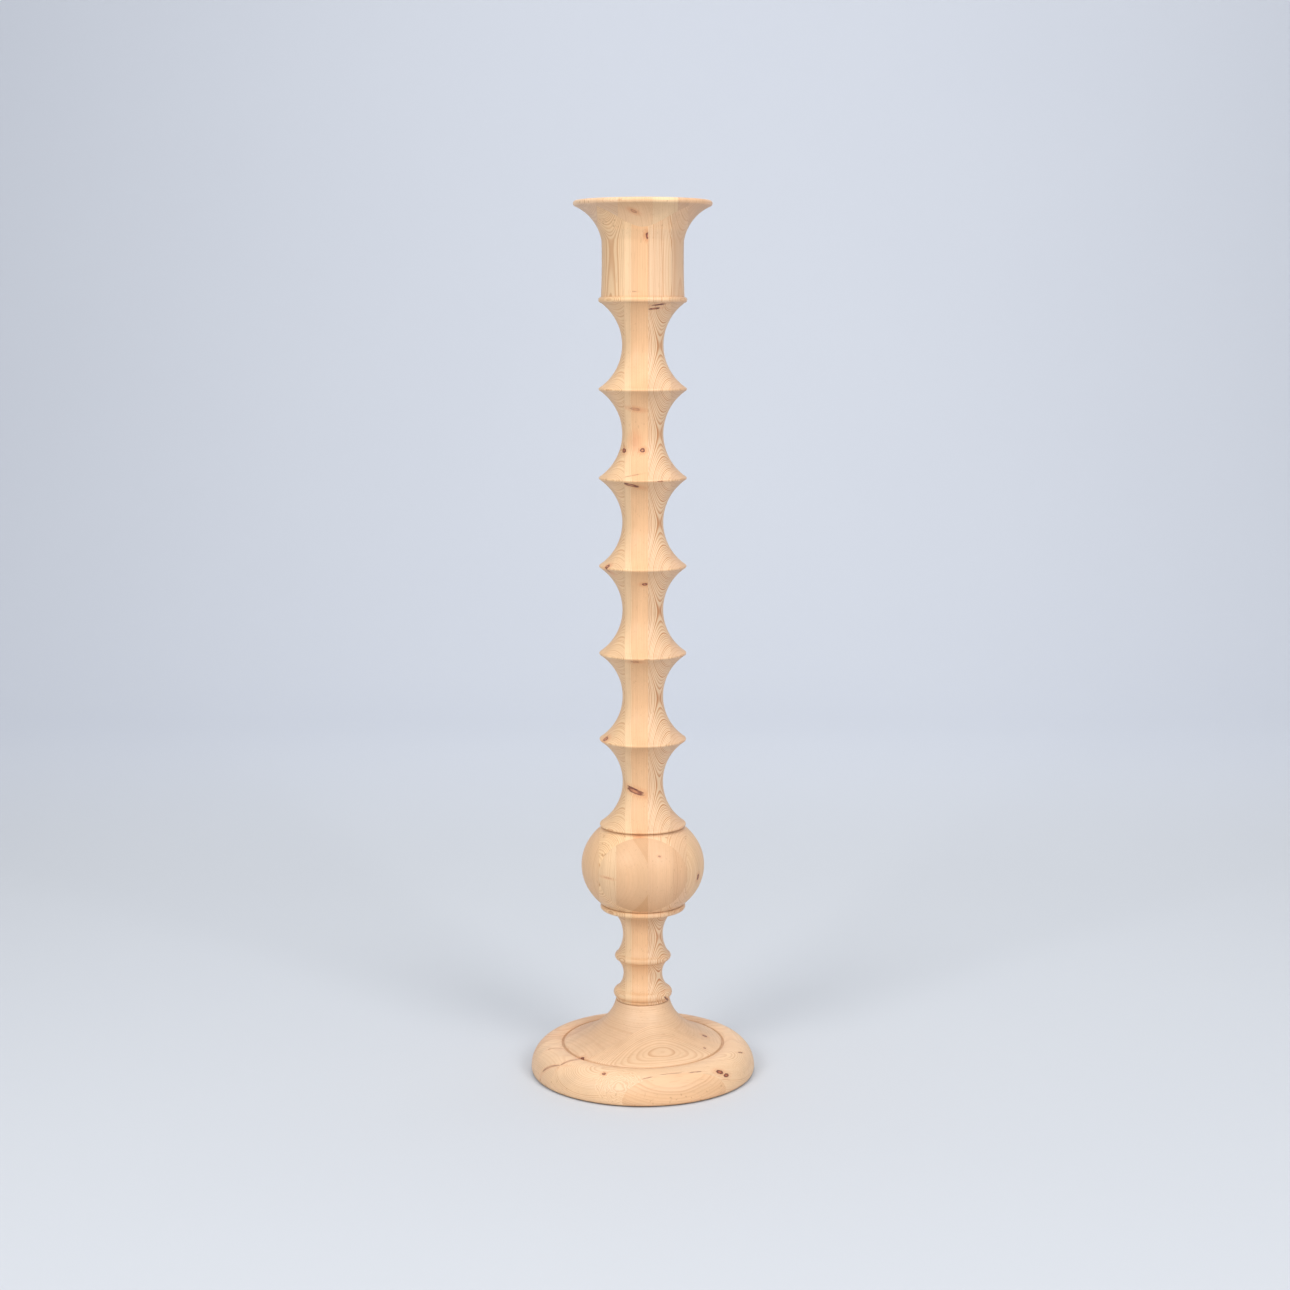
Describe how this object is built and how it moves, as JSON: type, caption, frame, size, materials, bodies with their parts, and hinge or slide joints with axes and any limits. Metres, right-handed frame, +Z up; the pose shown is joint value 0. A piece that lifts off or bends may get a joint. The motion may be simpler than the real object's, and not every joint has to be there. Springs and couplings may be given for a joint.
{
  "type": "candlestick",
  "caption": "Tall turned pine floor candlestick: flared candle cup, shaft of hollows between sharp fins, a ball, and a wide round base.",
  "frame": {"origin": "centre of the felt's underside, on the floor", "axes": "+Z up the column's axis, -Y towards the front, +X to the right seen from the front"},
  "size_m": [0.261, 0.261, 1],
  "materials": {
    "pale_pine": "bare sanded pine, satin",
    "warm_pine": "bare sanded pine, satin",
    "brown_pine": "bare sanded pine, satin",
    "brass": "spun, slightly dull",
    "zinc_steel": "zinc plated",
    "felt": "pressed wool felt"
  },
  "bodies": {
    "stand": {"felt_disc": "felt", "base_board_front": "warm_pine", "base_board_front_mid": "pale_pine", "base_board_middle": "pale_pine", "base_board_back_mid": "warm_pine", "base_board_back": "pale_pine", "washer": "zinc_steel", "lag_screw": "zinc_steel", "column_strip_left": "pale_pine", "column_strip_mid_left": "warm_pine", "column_strip_mid_right": "pale_pine", "ball_strip_right": "brown_pine", "cup_strip_right": "brown_pine", "fin_tip_right_1": "brown_pine", "fin_tip_right_2": "brown_pine", "fin_tip_right_3": "brown_pine", "fin_tip_right_4": "brown_pine", "fin_tip_right_5": "brown_pine", "ball_cheek_left": "warm_pine", "ball_cheek_right": "brown_pine", "ball_front_strip_1": "warm_pine", "ball_front_strip_2": "pale_pine", "ball_front_strip_3": "pale_pine", "ball_front_strip_4": "brown_pine", "ball_back_strip_1": "warm_pine", "ball_back_strip_2": "pale_pine", "ball_back_strip_3": "pale_pine", "ball_back_strip_4": "brown_pine", "rim_cheek_left": "warm_pine", "rim_cheek_right": "brown_pine", "rim_front_strip_1": "warm_pine", "rim_front_strip_2": "pale_pine", "rim_front_strip_3": "pale_pine", "rim_front_strip_4": "brown_pine", "rim_back_strip_1": "warm_pine", "rim_back_strip_2": "pale_pine", "rim_back_strip_3": "pale_pine", "rim_back_strip_4": "brown_pine"},
    "candle_insert": {"candle_pan": "brass", "candle_spike": "brass"}
  },
  "joints": [
    {"name": "insert_lift", "type": "slide", "parent": "stand", "child": "candle_insert", "axis": [0, 0, 1], "range_m": [0, 0.12]}
  ]
}
